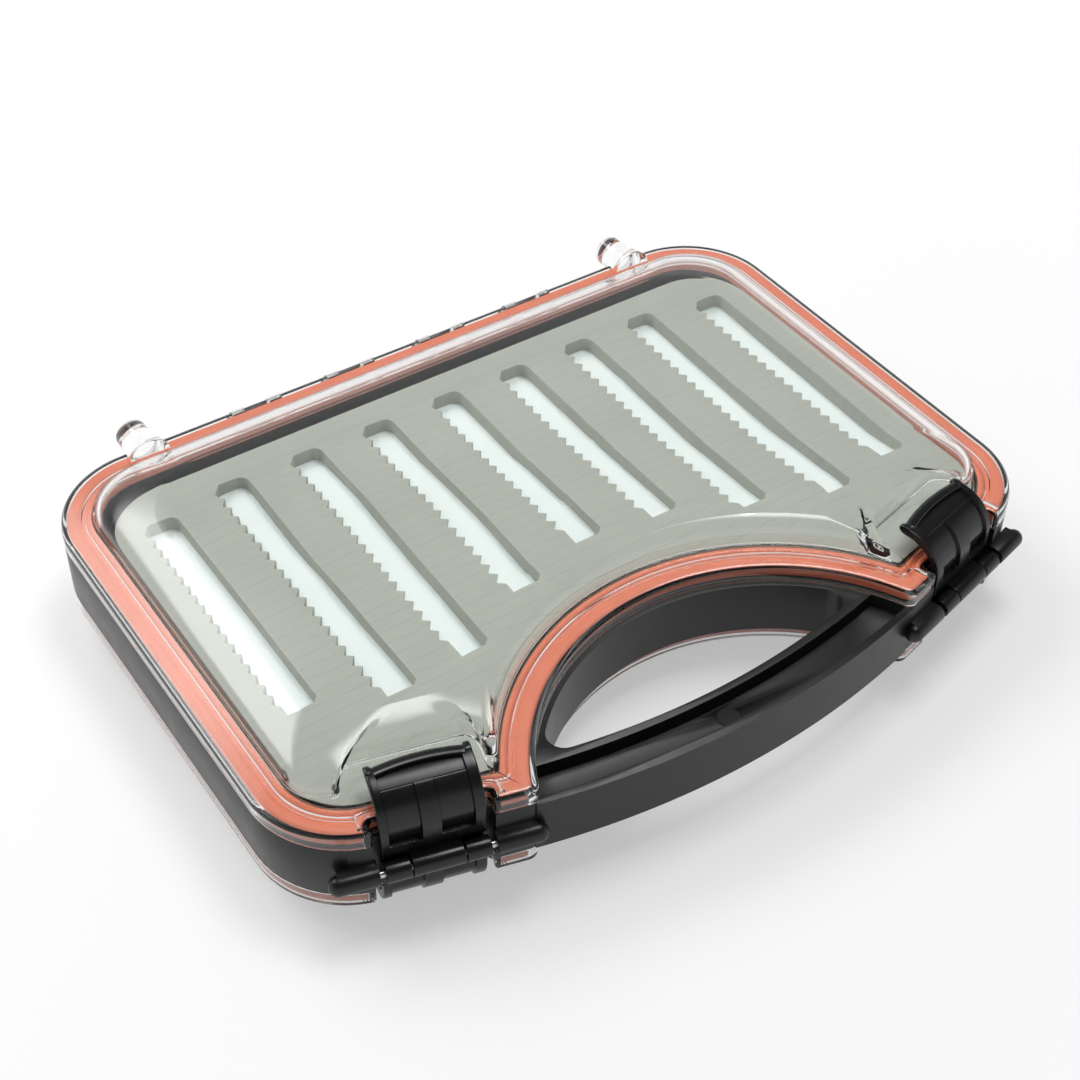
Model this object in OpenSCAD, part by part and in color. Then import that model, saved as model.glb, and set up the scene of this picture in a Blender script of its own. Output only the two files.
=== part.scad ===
// Two-sided fly box with a carrying handle: a dark frame with a divider web,
// a clear domed lid on each face, a slit foam on a white foam pad on each side
// of the web, and two snap latches per lid. Millimetres. +X runs along the
// length, -Y is the handle side, +Y the hinge side and +Z is up. The origin is
// the middle of the underside of the closed box, which lies on its lower lid.

/* [Case] */
// Length of the case over the lid rims
case_w = 252; // [200:1:320]
// Y of the rim's back face, measured from the plan reference line
rim_back = 169; // [150:0.5:190]
// Radius of the back corners
back_r = 29; // [15:0.5:40]
// Radius of the front corners
front_r = 28.5; // [15:0.5:40]
// Angle that each front face turns away from the long side
face_turn = 14.56; // [5:0.01:25]
// Thickness of the closed box over both lids
case_t = 44.8; // [36:0.1:60]
// Height of the dark frame
frame_h = 17.8; // [12:0.1:26]
// Width of the frame's flat land under the lid rim
land_w = 9.5; // [7:0.1:14]
// Thickness of the divider web in the middle
web_t = 2; // [1.2:0.1:4]

/* [Handle] */
// Distance from the plan reference line to the middle of the opening's back arc
opening_c = 35.2; // [30:0.1:45]
// Radius of the lid rim round the handle opening
rim_arc_r = 68.5; // [60:0.1:80]
// Radius of the frame's wall round the handle opening
opening_r = 67; // [58:0.1:78]
// Radius of the rounded ends of the opening
opening_end_r = 5; // [2:0.1:9]
// Depth of the channel in each face of the handle
channel_d = 5; // [2:0.1:7]

/* [Lids] */
// Thickness of the clear lid wall
lid_t = 1.6; // [1.2:0.1:3]
// Gap between a lid rim and the frame
rim_gap = 0.2; // [0.1:0.05:0.5]
// Height of the flat rim ledge above the middle plane
ledge_z = 14.65; // [12:0.05:18]
// Half length of the flat top inside its fold line
fold_x = 103.8; // [90:0.1:112]
// Y of the fold line at the back
fold_back = 146; // [130:0.5:155]
// Bow of the fold line behind each latch
fold_bow = 0.6; // [0.1:0.1:2]
// Half length of the dome where it leaves the ledge
dome_x = 116.5; // [105:0.1:122]
// Y of the dome's back wall
dome_back = 159.5; // [150:0.1:165]

/* [Gaskets] */
// Height of a gasket
gasket_h = 3.2; // [2:0.1:5]
// Width of a gasket
gasket_w = 2.9; // [2:0.1:5]

/* [Foam] */
// Half length of the foams
foam_x = 109.5; // [95:0.1:114]
// Y of the foams' back edge
foam_back = 150.5; // [140:0.5:157]
// Thickness of the slit foam
slit_t = 4.7; // [2:0.1:7]
// Height of the white pad under the slit foam
pad_t = 6.95; // [4:0.05:10]
// Number of slots in the slit foam
slots = 9; // [1:1:9]
// Distance from slot to slot
slot_pitch = 25; // [15:0.5:40]
// Width of a slot between its straight edge and the tips of its teeth
slot_w = 9.4; // [5:0.1:15]
// Depth of the teeth along a slot
tooth_d = 2.1; // [0:0.1:4]
// Distance from tooth to tooth
tooth_p = 4.5; // [3:0.1:8]

/* [Latches] */
// Distance from the middle to each latch barrel, along X
latch_x = 90.6; // [80:0.1:100]
// Y of the latch barrels
latch_y = -3; // [-8:0.1:2]
// Width of a latch plate
latch_w = 28; // [20:0.5:34]
// Diameter of the latch barrels
barrel_d = 5.7; // [4:0.1:8]
// Diameter of the latch pins
latch_pin_d = 2; // [1.5:0.1:3]

/* [Hinges] */
// X of the inner hinge units on each side of the middle
hinge_in = 17; // [12:0.1:30]
// X of the outer hinge units
hinge_out = 50.6; // [40:0.1:80]
// Y of the hinge lines
hinge_y = 170.8; // [170:0.1:174]
// Height of each hinge line above or below the middle plane
hinge_z = 7.2; // [5:0.1:9]
// Radius of the hinge knuckles
hinge_r = 3.5; // [2.5:0.1:5]
// Diameter of the hinge pins
hinge_pin_d = 2; // [1.5:0.1:3]
// X of the two round feet on the back edge of each lid
foot_x = 89.3; // [70:0.1:105]
// Radius of a foot
foot_r = 5.05; // [3:0.05:7]
// Length of a foot behind the rim
foot_l = 8.7; // [4:0.1:14]

/* [Hidden] */
hh = frame_h / 2;
ch = case_t / 2;
rim_z = hh + rim_gap;
groove_z = ledge_z - 1.3;
y_front = -16.3;
y_mid = (rim_back + foot_l + y_front) / 2;
fs = sin(face_turn);
fc = cos(face_turn);
hinge_xs = [-hinge_out, -hinge_in, hinge_in, hinge_out];
dark = [0.16, 0.18, 0.17];
clear = [0.9, 0.93, 0.93, 0.35];
orange = [0.88, 0.35, 0.18];
grey = [0.67, 0.68, 0.64];
white = [0.93, 0.96, 0.95];
steel = [0.75, 0.76, 0.77];

// ---- plan curves -------------------------------------------------------
// Arc without its first point, where it carries on from a point already listed
function arcn(c, r, a0, a1, n) = arcp(c, r, a0 + (a1 - a0) / n, a1, n - 1);
// A point given along and behind the left latch barrel
function uv(u, v) = [-latch_x + u * fc + v * fs, latch_y - u * fs + v * fc];
function arcp(c, r, a0, a1, n) =
    [for (i = [0:n]) c + r * [cos(a0 + (a1 - a0) * i / n), sin(a0 + (a1 - a0) * i / n)]];
// Position along the latch barrel where a line behind it meets a circle of
// radius r round the middle of the handle opening
ca = -latch_x * fc - (latch_y + opening_c) * fs;
cb = -latch_x * fs + (latch_y + opening_c) * fc;
function umeet(v, r) = -ca - sqrt(r * r - (v + cb) * (v + cb));
function dir(c) = atan2(c[1], c[0]);
// End of an outline: fillet of radius rt, then the arc of radius R
function tail(c, rt, R) = concat(
    arcp(c, rt, 270 - face_turn, 360 + dir([-c[0], -opening_c - c[1]]), 5),
    arcn([0, -opening_c], R, dir([c[0], c[1] + opening_c]), 90, 22));
// Left half of an outline, from the back corner to the middle of the arc
function outl(xs, yb, rb, rf, vf, R, rt) =
    let (uf = (-xs + rf + latch_x - (vf + rf) * fs) / fc)
    concat(arcp([-xs + rb, yb - rb], rb, 90, 180, 12),
        arcp(uv(uf, vf + rf), rf, 180, 270 - face_turn, 10),
        tail(uv(umeet(vf + rt, R + rt), vf + rt), rt, R));
// Closed outline from its left half, whose last point is on the middle line
function both(h) = concat(h, [for (i = [len(h) - 2:-1:0]) [-h[i][0], h[i][1]]]);
// Outline of the lid rim, moved inwards by d
function rim(d) = both(outl(case_w / 2 - d, rim_back - d, back_r - d,
    front_r - d, 1.9 + d, rim_arc_r + d, max(3 - d / 5, 1.2)));
// Foot of the dome, moved inwards by d, with the hollow behind each latch and
// the narrow horn between that hollow and the arc. vh is where the horn starts
function recess(d, vh) = let (v1 = max(19.5, vh + 0.1), r = 25.5 + d - v1) concat(
    [for (p = arcp([-22, 18.5], 2 - d * 0.8, 270, 360, 3)) uv(p[0], p[1])],
    [for (p = arcp([-14, 19.5], 6 + d, 180, 90, 5)) uv(p[0], p[1])],
    [for (p = arcp([18.5 + d - r, v1], r, 90, 0, 5)) uv(p[0], p[1])]);
function dome_foot(d) = let (rh = 1.5 - d / 3, uh = 18.5 + d + rh, R = 78.5 + d,
        vh = sqrt((R + rh) * (R + rh) - (uh + ca) * (uh + ca)) - cb,
        c = uv(uh, vh))
    both(concat(arcp([-dome_x + 19.5, dome_back - 19.5], 19.5 - d, 90, 180, 12),
        arcp(uv(-22.15, 28), 11.5 - d, 180, 270 - face_turn, 10),
        recess(d, vh),
        arcp(c, rh, 180 - face_turn, 360 + dir([-c[0], -opening_c - c[1]]), 5),
        arcn([0, -opening_c], R, dir([c[0], c[1] + opening_c]), 90, 22)));
// Fold line round the flat top, moved inwards by d, with matching points
function fold(d) = let (R = 83 + d, v0 = 34.5 + d,
        c = uv(umeet(v0 + 4, R + 4), v0 + 4), ue = umeet(v0 + 4, R + 4))
    both(concat(arcp([-fold_x + 23, fold_back - 23], 23 - d, 90, 180, 12),
        arcp(uv(-14.9, 44.5), 10 - d, 180, 270 - face_turn, 10),
        [for (i = [1:16]) uv(-14.9 + (ue + 14.9) * i / 17, v0 + fold_bow * sin(180 * i / 17))],
        arcp(c, 4, 270 - face_turn, 360 + dir([-c[0], -opening_c - c[1]]), 5),
        arcn([0, -opening_c], R, dir([c[0], c[1] + opening_c]), 90, 22)));
// Solid through rings [inwards step, blend to the fold line, height]
module loft(rings, f0, f1) {
    n = len(f0);
    m = len(rings);
    pts = [for (r = rings, i = [0:n - 1]) let (p = f0[i] * (1 - r[0]) + f1[i] * r[0])
        [p[0], p[1], r[1]]];
    polyhedron(points = pts, faces = concat(
        [[for (i = [0:n - 1]) i]],
        [[for (i = [n - 1:-1:0]) (m - 1) * n + i]],
        [for (k = [0:m - 2], i = [0:n - 1]) [k * n + (i + 1) % n, k * n + i, (k + 1) * n + i]],
        [for (k = [0:m - 2], i = [0:n - 1])
            [k * n + (i + 1) % n, (k + 1) * n + i, (k + 1) * n + (i + 1) % n]]),
        convexity = 4);
}
// Everything is drawn round the middle plane, then moved to the origin
module place() { translate([0, -y_mid, ch]) children(); }
module flip(down) { mirror([0, 0, down ? 1 : 0]) children(); }
// Latch frame on one side: x along the barrel, y behind it
module at_latch(side) {
    mirror([side > 0 ? 1 : 0, 0, 0])
        translate([-latch_x, latch_y, 0]) rotate([0, 0, -face_turn]) children();
}
module both_latches() { at_latch(-1) children(); at_latch(1) children(); }
module slab(z0, z1) { translate([0, 0, z0]) linear_extrude(height = z1 - z0) children(); }
// Box given by its low and high corners
module bx(a, b) { translate(a) cube(b - a); }
// Cylinder along x from x0 to x1 round [y, z]
module xcyl(x0, x1, r, y = 0, z = 0) {
    translate([x0, y, z]) rotate([0, 90, 0]) cylinder(r = r, h = x1 - x0, $fn = 48);
}
// Rim outline with the two latch gaps, moved inwards by d
module body2(d, vb = 6.7, ub = 16) {
    difference() {
        polygon(rim(d));
        both_latches() translate([-ub - d, -20]) square([2 * (ub + d), 20 + vb + d]);
    }
}

// ---- frame ---------------------------------------------------------------
// Opening between the frame's arc and the handle
module opening2() {
    ra = opening_r - opening_end_r;
    rb = 226.6 - opening_end_r;
    dd = 224.8 + opening_c;
    yc = (ra * ra - rb * rb + dd * dd) / (2 * dd);
    c = [sqrt(ra * ra - yc * yc), yc - opening_c];
    a0 = dir([c[0], c[1] + opening_c]);
    a1 = dir([c[0], c[1] - 224.8]);
    polygon(concat(arcp([0, -opening_c], opening_r, a0, 180 - a0, 30),
        arcn([-c[0], c[1]], opening_end_r, 180 - a0, 180 - a1, 8),
        arcn([0, 224.8], 226.6, -180 - a1, a1, 24),
        arcn(c, opening_end_r, a1, a0, 8)));
}
module handle2() {
    polygon(concat(arcp([0, 240.7], 257, 270 - 14.4, 270 + 14.4, 32),
        [[68, 8], [45, 24], [-45, 24], [-68, 8]]));
}
module channel2() {
    intersection() {
        difference() {
            translate([0, 265]) circle(r = 278.6, $fn = 360);
            translate([0, 250.5]) circle(r = 254.5, $fn = 360);
        }
        translate([0, -opening_c]) circle(r = rim_arc_r + 1, $fn = 180);
    }
}
// Rounded bullet along the barrel, thin end first
module bullet(u0, u1) {
    r = barrel_d / 2;
    translate([u0, 0, 0]) sphere(r = r, $fn = 48);
    xcyl(min(u0, u1), max(u0, u1), r);
    bx([min(u0, u1), 0, -r], [max(u0, u1), 3, r]);
}
module frame_face() {
    // sealing bead under the gasket
    difference() {
        slab(hh - 0.5, hh + 1.2) body2(2.6);
        slab(hh - 1, hh + 2) body2(3.9);
    }
    // hinge knuckles
    for (x = hinge_xs) {
        xcyl(x - 4, x + 4, hinge_r, hinge_y, hinge_z);
        bx([x - 4, rim_back - 4, hinge_z - hinge_r], [x + 4, hinge_y, hh]);
    }
}
module frame_cuts() {
    // channel in the handle with the round mark of the mould pin in its floor
    difference() {
        slab(hh - channel_d, hh + 1) channel2();
        translate([-2, -8.6, hh - channel_d - 1]) cylinder(d = 6.5, h = 1.35, $fn = 48);
    }
    // pockets for the ears of the lid, and the bores for the hinge pins
    for (x = hinge_xs) {
        for (s = [-1, 1])
            xcyl(x + s * 6.35 - 2.5, x + s * 6.35 + 2.5, hinge_r + 0.4, hinge_y, hinge_z);
        xcyl(x - 5, x + 5, hinge_pin_d / 2 + 0.02, hinge_y, hinge_z);
    }
}
module frame() color(dark) place() {
    difference() {
        union() {
            difference() {
                slab(-hh, hh) union() { polygon(rim(0)); handle2(); }
                slab(web_t / 2, hh + 1) polygon(rim(land_w));
                slab(-hh - 1, -web_t / 2) polygon(rim(land_w));
                slab(-hh - 1, hh + 1) opening2();
                both_latches() bx([-16.2, -9, -hh - 1], [16.2, 5.2, hh + 1]);
            }
            both_latches() { bullet(-26, -15.6); bullet(27, 15.6); }
            frame_face();
            flip(true) frame_face();
        }
        frame_cuts();
        flip(true) frame_cuts();
        both_latches() xcyl(-22, 22, latch_pin_d / 2 + 0.02);
    }
}

// ---- lids, gaskets and foams --------------------------------------------
dome_rings = [[0, ledge_z - 1], [0, 16], [0.025, 17.2], [0.07, 18.2], [0.16, 19.2],
    [0.32, 20.2], [0.55, 21.1], [0.78, 21.8], [1, ch]];
hollow_rings = [[0, ledge_z - 2], [0, 16], [0.06, 17.3], [0.2, 18.5], [0.5, 19.8],
    [1, ch - lid_t]];
module lid() {
    difference() {
        union() {
            slab(rim_z, ledge_z - 0.7) body2(0);
            slab(ledge_z - 0.8, ledge_z - 0.3) body2(0.25);
            slab(ledge_z - 0.4, ledge_z) body2(0.8);
            loft(dome_rings, dome_foot(0), fold(0));
            // round feet on the back edge
            for (s = [-1, 1]) intersection() {
                union() {
                    translate([s * foot_x, rim_back - 5, 13.4]) rotate([-90, 0, 0])
                        cylinder(r = foot_r, h = 5 + foot_l, $fn = 48);
                    translate([s * foot_x, rim_back - 6, 13.4]) rotate([-90, 0, 0])
                        cylinder(r1 = 7, r2 = 5.6, h = 7, $fn = 48);
                }
                union() {
                    bx([-126, 150, rim_z], [126, 190, 22]);
                    bx([-126, rim_back + 0.2, 5], [126, 190, 22]);
                }
            }
        }
        slab(rim_z - 1, groove_z) body2(1.7);
        loft(hollow_rings, dome_foot(lid_t), fold(0.8));
        // notches over the frame's hinge knuckles
        for (x = hinge_xs) bx([x - 4.4, 166.5, 8], [x + 4.4, 172, 11]);
    }
    // inner rib that keeps the gasket in its groove
    difference() {
        slab(rim_z + 1.6, groove_z + 0.3) body2(4.75);
        slab(rim_z, ledge_z) body2(5.75);
    }
    // hinge ears
    for (x = hinge_xs, s = [-1, 1]) difference() {
        union() {
            xcyl(x + s * 6.35 - 2.1, x + s * 6.35 + 2.1, hinge_r, hinge_y, hinge_z);
            translate([x + s * 6.35 - 2.1, 0, 0]) rotate([90, 0, 90])
                linear_extrude(height = 4.2) polygon([[rim_back - 1, rim_z],
                    [rim_back - 1, 13.4], [rim_back + 2, 12.9], [hinge_y + 3.2, 9],
                    [hinge_y + 3.4, 7.2], [hinge_y, 7.2]]);
        }
        xcyl(x + s * 6.35 - 3, x + s * 6.35 + 3, hinge_pin_d / 2 + 0.05, hinge_y, hinge_z);
    }
    // small ribs on the ledge beside each latch
    both_latches() {
        bx([-19.2, 4, ledge_z - 1], [-18.2, 14, ledge_z + 1]);
        bx([18.4, 4, ledge_z - 1], [19.4, 12, ledge_z + 1]);
    }
}
module gasket(down) color(orange) place() flip(down) difference() {
    slab(groove_z - gasket_h, groove_z) body2(1.8);
    slab(hh, hh + 6) body2(1.8 + gasket_w);
}
module foam2(d) {
    polygon(both(outl(foam_x - d, foam_back - d, 20 - d, 15 - d, 14 + d, 81 + d, 1.5)));
}
// Near end of each slot, from left to right
slot_near = [50, 40.5, 42.1, 54.2, 60.7, 57.6, 46.4, 38, 43];
function slot_far(k) = (k == 0 || k == 8) ? 136.6 : 141;
// Slot with teeth along its left edge and a rounded far right corner
module slot2(k) {
    x1 = 5.6 + slot_pitch * (k - 4);
    x0 = x1 - slot_w;
    y0 = slot_near[k];
    y1 = slot_far(k);
    nt = floor((y1 - y0 - 9) / tooth_p);
    polygon(concat([[x1, y0 + 1.5]], arcp([x1 - 3, y1 - 3], 3, 0, 90, 6),
        [[x0 + 1, y1], [x0 - 1.6, y1 - 3.2], [x0 - 1.2, y1 - 5.4], [x0, y1 - 6.5]],
        [for (i = [0:nt - 1], j = [0, 1])
            [x0 - j * tooth_d, y1 - 6.5 - tooth_p * (i + j * 0.6)]],
        [[x0, y1 - 6.5 - tooth_p * nt], [x0, y0], [x1 - 1.5, y0]]));
}
module slit_foam(down) color(grey) place() flip(down) difference() {
    slab(web_t / 2 + pad_t, web_t / 2 + pad_t + slit_t) foam2(0);
    slab(web_t / 2 + pad_t - 1, 20) for (k = [0:slots - 1]) slot2(k);
}
module foam_pad(down) color(white) place() flip(down)
    slab(web_t / 2, web_t / 2 + pad_t) foam2(0.4);

// ---- latches ---------------------------------------------------------------
// Side outline of the plate: [behind the barrel, above it]
plate = concat([[2.4, 2.6], [4.9, 2.6]], arcp([14.5, 9.8], 9.6, 180, 90, 12),
    [[16.4, 19.7], [16.6, 21.4], [16, 21.9]], arcp([14.5, 9.8], 12.1, 90, 180, 14));
groove = concat(arcp([14.5, 9.8], 12.6, 115, 88, 6), arcp([14.5, 9.8], 11, 88, 115, 6));
module profile(u0, u1) {
    translate([u0, 0, 0]) rotate([90, 0, 90]) linear_extrude(height = u1 - u0) children();
}
module shell_cut(u0, u1, depth, a0, z0) {
    profile(u0, u1) polygon(concat([[0, z0], [2.4 + depth, z0]],
        arcp([14.5, 9.8], 12.1 - depth, 180, a0, 10), arcp([14.5, 9.8], 14, a0, 180, 10)));
}
module latch(wide) {
    hw = latch_w / 2;
    r = barrel_d / 2;
    spans = wide ? [[-7, 7]] : [[-14.6, -7.3], [7.3, 14.6]];
    difference() {
        union() {
            profile(-hw, hw) polygon(plate);
            // raised lip over the top and catch over the ledge of the lid
            profile(-9, 9) polygon([[14, 21.2], [15, 22.2], [17.2, 22], [17.9, 21], [17, 19.8]]);
            bx([-11, 6.2, ledge_z + 0.15], [11, 8.8, ledge_z + 2]);
            for (s = spans) {
                xcyl(s[0], s[1], r);
                bx([max(s[0], -hw), 0, 0.6], [min(s[1], hw), 4.9, 3.4]);
            }
        }
        // two sunk panels with a deeper pocket at their lower end, and the groove
        for (p = [[-11.8, -2.9], [2.1, 11.1]]) {
            shell_cut(p[0], p[1], 0.7, 112, 6.4);
            shell_cut(p[0] + 0.8, p[1] - 0.8, 1.4, 172, 7);
        }
        profile(-12, 12) polygon(groove);
        for (s = spans) xcyl(s[0] - 1, s[1] + 1, latch_pin_d / 2 + 0.05);
    }
}
module latch_at(side, down) color(dark) place() at_latch(side) flip(down) latch(!down);
module latch_pin(side) color(steel) place() at_latch(side) xcyl(-21.8, 21.8, latch_pin_d / 2);
module hinge_pin(i, down) color(steel) place() flip(down)
    xcyl(hinge_xs[i] - 8.3, hinge_xs[i] + 8.3, hinge_pin_d / 2, hinge_y, hinge_z);
module top_lid() color(clear) place() lid();
module bottom_lid() color(clear) place() flip(true) lid();

// ---- what is drawn -----------------------------------------------------------
frame();
top_lid();
bottom_lid();
gasket(false);  // top_gasket
gasket(true);  // bottom_gasket
slit_foam(false);  // top_slit_foam
slit_foam(true);  // bottom_slit_foam
foam_pad(false);  // top_foam_pad
foam_pad(true);  // bottom_foam_pad
latch_at(-1, false);  // latch_top_left
latch_at(1, false);  // latch_top_right
latch_at(-1, true);  // latch_bottom_left
latch_at(1, true);  // latch_bottom_right
latch_pin(-1);  // latch_pin_left
latch_pin(1);  // latch_pin_right
hinge_pin(0, false);  // hinge_pin_top_1
hinge_pin(1, false);  // hinge_pin_top_2
hinge_pin(2, false);  // hinge_pin_top_3
hinge_pin(3, false);  // hinge_pin_top_4
hinge_pin(0, true);  // hinge_pin_bottom_1
hinge_pin(1, true);  // hinge_pin_bottom_2
hinge_pin(2, true);  // hinge_pin_bottom_3
hinge_pin(3, true);  // hinge_pin_bottom_4
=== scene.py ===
"""Clear-lidded two-sided fly box with a handle: looks and stage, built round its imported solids.

Plan curves are worked out in millimetres from the case's middle line and from a line across it that
runs 3 mm behind the latch barrels, and heights from the middle plane. Meshes are made in metres.
"""

import math

import bmesh
import bpy
from bpy.props import FloatProperty, FloatVectorProperty, IntProperty, PointerProperty
from mathutils import Matrix, Vector


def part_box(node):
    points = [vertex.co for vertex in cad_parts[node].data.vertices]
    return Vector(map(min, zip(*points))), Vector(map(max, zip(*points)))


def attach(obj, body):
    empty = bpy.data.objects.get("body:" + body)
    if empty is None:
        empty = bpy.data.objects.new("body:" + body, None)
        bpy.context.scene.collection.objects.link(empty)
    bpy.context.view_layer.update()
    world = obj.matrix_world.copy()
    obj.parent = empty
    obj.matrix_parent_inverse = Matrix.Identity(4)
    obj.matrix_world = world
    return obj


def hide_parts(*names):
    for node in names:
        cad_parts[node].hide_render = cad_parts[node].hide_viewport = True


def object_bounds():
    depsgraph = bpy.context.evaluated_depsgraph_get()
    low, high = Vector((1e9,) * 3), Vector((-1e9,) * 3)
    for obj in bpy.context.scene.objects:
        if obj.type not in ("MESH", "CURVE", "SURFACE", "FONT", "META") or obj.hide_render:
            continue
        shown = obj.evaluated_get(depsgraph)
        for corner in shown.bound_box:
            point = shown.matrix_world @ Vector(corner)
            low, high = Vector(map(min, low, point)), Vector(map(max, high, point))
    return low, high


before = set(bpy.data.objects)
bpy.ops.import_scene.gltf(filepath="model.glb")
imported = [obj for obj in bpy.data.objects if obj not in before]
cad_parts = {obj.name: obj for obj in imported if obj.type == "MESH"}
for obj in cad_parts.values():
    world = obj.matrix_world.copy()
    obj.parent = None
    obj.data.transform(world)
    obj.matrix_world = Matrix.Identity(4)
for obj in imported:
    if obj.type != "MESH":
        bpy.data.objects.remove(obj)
CAD_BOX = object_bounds()

bl_info = {
    "name": "Fly box with handle",
    "version": (1, 0, 0),
    "blender": (4, 5, 0),
    "location": "View3D > Sidebar > Fly box",
    "description": "Builds a two-sided clear-lidded fly box with slit foam and snap latches",
    "category": "Object",
}

MM = 0.001
SIDES = (-1, 1)
HALF_THICK = (CAD_BOX[1].z - CAD_BOX[0].z) / 2 / MM
# the handle's front, and what is taken off a plan place to get the row frame's own
FRONT_Y = -16.3
PLAN_SHIFT = FRONT_Y - CAD_BOX[0].y / MM
RIM_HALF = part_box("top_lid")[1].x / MM
# half the thickness of the frame's wall, and of the web in its middle
FRAME_HALF = 8.9
WEB_HALF = 1.0
SLIT_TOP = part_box("top_slit_foam")[1].z / MM - HALF_THICK
PAD_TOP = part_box("top_slit_foam")[0].z / MM - HALF_THICK


def measure(name, text, value):
    """Property in metres from millimetres."""
    return FloatProperty(
        name=name, description=text, default=value * MM, unit="LENGTH", precision=5
    )


class FlyBoxSizes(bpy.types.PropertyGroup):
    """Sizes that a user would change."""

    ledge: measure("Ledge height", "Height of the flat lid rim above the middle plane", 14.65)
    wall: measure("Lid wall", "Thickness of the clear lid", 1.6)
    edge: measure("Moulded edge", "Rounding of the dark plastic's edges", 0.45)
    slots: IntProperty(name="Slots", description="Slots in each slit foam", default=9, min=1, max=9)
    tooth_depth: measure("Tooth depth", "Depth of the teeth along each foam slot", 2.1)


def colour(name, text, value):
    """Property for a finish's base colour."""
    return FloatVectorProperty(
        name=name, description=text, subtype="COLOR", size=3, min=0, max=1, default=value
    )


class FlyBoxColours(bpy.types.PropertyGroup):
    """Base colours of the finishes."""

    case: colour("Frame", "Moulded plastic of the frame", (0.0045, 0.0057, 0.0051))
    latch: colour("Latch", "Moulded plastic of the latches", (0.0042, 0.0052, 0.0048))
    clear: colour("Lid", "Clear moulded plastic", (0.975, 0.985, 0.98))
    gasket: colour("Gasket", "Silicone seal", (0.68, 0.165, 0.08))
    slit: colour("Slit foam", "Grey closed-cell foam", (0.415, 0.425, 0.375))
    pad: colour("Foam pad", "White closed-cell foam", (0.87, 0.93, 0.92))
    steel: colour("Pin", "Drawn steel wire", (0.62, 0.62, 0.61))
    floor: colour("Floor", "Studio floor", (0.95, 0.95, 0.95))


# ---- plan curves ----

# how far a latch is turned outwards, the middle of the left latch's barrel, and the middle of the
# arcs that run round the handle opening
TURN = math.radians(14.56)
TURN_SIN = math.sin(TURN)
TURN_COS = math.cos(TURN)
BARREL = (-90.6, -3.0)
ARC_MIDDLE = (0.0, -35.2)
# lid rim: arc round the opening, back edge, corners, straight front behind the barrel and horn
RIM_ARC = 68.5
RIM_BACK = 169.0
RIM_BACK_R = 29
RIM_FRONT_R = 28.5
FACE = 1.9
HORN_R = 3
# the rim's gap for a latch, the rounding of its mouth and of its inside, and the width of the land
NOTCH_HALF = 16.0
NOTCH_BACK = 6.1
NOTCH_LIP_R = 1.0
NOTCH_R = 1.2
LAND_WIDE = 9.5
# the dome's foot, with middle and radius of its corners, the front one seen from the barrel
DOME_ARC = 78.5
DOME_HORN_R = 1.5
DOME_BACK = ((-97, 140), 19.5)
DOME_FRONT = ((-22.15, 28), 11.5)
# the hollow in the dome behind a latch, seen from the barrel
HOLLOW_LEFT = -20
HOLLOW_RIGHT = 18.5
HOLLOW_FRONT = 18.5
HOLLOW_TURN = 19.5
HOLLOW_BACK = 25.5
HOLLOW_LIP_R = 2
# the fold round the dome's flat top, given like its foot, and how far its front bows
FOLD_ARC = 83
FOLD_HORN_R = 4.0
FOLD_BACK = ((-80.8, 123), 23)
FOLD_FRONT = ((-14.9, 44.5), 10)
FOLD_BOW = 0.6
# the foams' edge
FOAM_HALF = 114.3
FOAM_BACK = 150.5
FOAM_BACK_R = 20
FOAM_FRONT = 13
FOAM_FRONT_R = 17
FOAM_ARC = 79.5
FOAM_HORN_R = 1.5
# points on each kind of curve
CORNER_STEPS = 20
FRONT_STEPS = 18
HOLLOW_STEPS = 8
HORN_STEPS = 8
ARC_STEPS = 44


def arc(middle, radius, start, end, steps, first=0):
    """Points on an arc, angles in degrees; first=1 leaves the first point out."""
    turns = [math.radians(start + (end - start) * i / steps) for i in range(first, steps + 1)]
    return [(middle[0] + radius * math.cos(t), middle[1] + radius * math.sin(t)) for t in turns]


def by_latch(u, v):
    """Plan point that is u along the left latch barrel and v behind it."""
    return (BARREL[0] + u * TURN_COS + v * TURN_SIN, BARREL[1] - u * TURN_SIN + v * TURN_COS)


def angle_of(x, y):
    """Direction of a plan vector in degrees."""
    return math.degrees(math.atan2(y, x))


# the barrel's place seen from the arcs' middle, along and across it, and the way its face looks
ALONG = BARREL[0] * TURN_COS - (BARREL[1] - ARC_MIDDLE[1]) * TURN_SIN
BEHIND = BARREL[0] * TURN_SIN + (BARREL[1] - ARC_MIDDLE[1]) * TURN_COS
FACE_ANGLE = 270 - math.degrees(TURN)


def meets_arc(v, radius):
    """How far along the latch barrel a line v behind it meets a circle round the arc's middle."""
    return -ALONG - math.sqrt(radius * radius - (v + BEHIND) ** 2)


def to_arc(corner, corner_radius, start, radius):
    """Rounded corner that runs on into the arc, up to the middle of the arc."""
    out = angle_of(corner[0] - ARC_MIDDLE[0], corner[1] - ARC_MIDDLE[1])
    back = 360 + angle_of(ARC_MIDDLE[0] - corner[0], ARC_MIDDLE[1] - corner[1])
    horn = arc(corner, corner_radius, start, back, HORN_STEPS)
    return horn + arc(ARC_MIDDLE, radius, out, 90, ARC_STEPS, first=1)


def whole(left):
    """Closed outline from its left half, whose last point is on the middle line."""
    return left + [(-x, y) for x, y in reversed(left[:-1])]


def corner_along(half_length, radius, v):
    """How far along the barrel a corner's middle is, if it touches the side and a line v behind."""
    return (-half_length + radius - BARREL[0] - (v + radius) * TURN_SIN) / TURN_COS


def front_corner(half_length, radius, v):
    """Middle of that corner in plan."""
    return by_latch(corner_along(half_length, radius, v), v + radius)


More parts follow.
